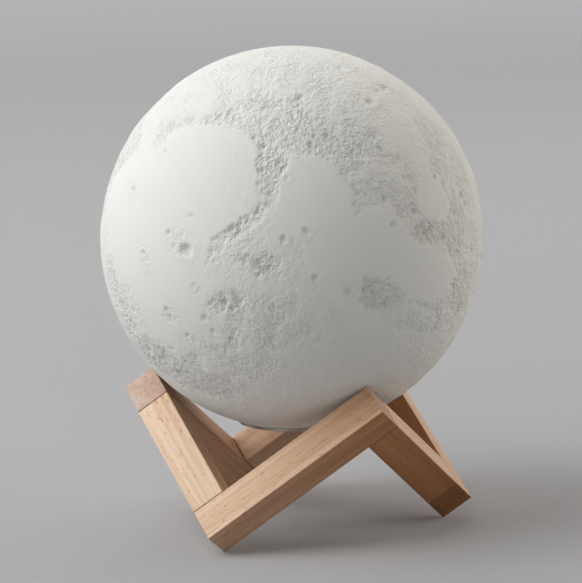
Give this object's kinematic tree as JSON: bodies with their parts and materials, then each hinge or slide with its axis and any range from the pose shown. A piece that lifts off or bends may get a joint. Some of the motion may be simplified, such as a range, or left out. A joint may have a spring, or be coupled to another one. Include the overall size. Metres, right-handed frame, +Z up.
{
  "type": "moon lamp",
  "caption": "Hollow printed moon lamp with a touch-sensitive metal ring and rechargeable base, lying loose in a cornered ring of square beech bars.",
  "frame": {"origin": "on the floor under the middle of the stand, straight below the moon's middle", "axes": "+Z up, -Y to the front, where the picture looks from"},
  "size_m": [0.15, 0.15, 0.1883],
  "materials": {
    "beech": "satin",
    "dowel_beech": "matt",
    "moon_print": "matt",
    "ring_metal": "satin",
    "base_white": "satin",
    "screw_steel": "satin",
    "board": "satin",
    "board_green": "satin",
    "lamp_warm": "satin",
    "lamp_white": "satin",
    "cap_frosted": "matt",
    "black_part": "satin",
    "contact_brass": "satin",
    "can_metal": "satin",
    "clear_rod": "clear",
    "foil_cell": "satin",
    "foam_pad": "matt",
    "lead_red": "satin",
    "lead_black": "satin",
    "plug_cream": "satin"
  },
  "bodies": {
    "stand": {"front_bar": "beech", "right_bar": "beech", "left_bar": "beech", "left_strut": "beech", "right_strut": "beech", "back_strut": "beech", "stand_dowels": "dowel_beech"},
    "moon": {"moon_shell": "moon_print", "touch_ring": "ring_metal", "base_cover": "base_white", "base_housing": "base_white", "cover_screws": "screw_steel", "light_board": "board", "warm_lamp_1": "lamp_warm", "warm_lamp_2": "lamp_warm", "warm_lamp_3": "lamp_warm", "white_lamp_1": "lamp_white", "white_lamp_2": "lamp_white", "white_lamp_3": "lamp_white", "light_cap": "cap_frosted", "light_board_screws": "screw_steel", "main_board": "board_green", "charge_socket": "black_part", "socket_pin": "contact_brass", "control_chip": "black_part", "charge_chip": "black_part", "boost_coil": "black_part", "capacitor": "can_metal", "signal_lamp": "lamp_white", "light_pipe": "clear_rod", "touch_contact": "contact_brass", "battery_plug": "plug_cream", "main_board_screws": "screw_steel", "battery_cell": "foil_cell", "battery_pad": "foam_pad", "lamp_lead_red": "lead_red", "lamp_lead_black": "lead_black", "battery_lead_red": "lead_red", "battery_lead_black": "lead_black"}
  },
  "joints": [
    {"name": "moon_lift", "type": "slide", "parent": "stand", "child": "moon", "axis": [0, 0, 1], "range_m": [0, 0.12]}
  ]
}
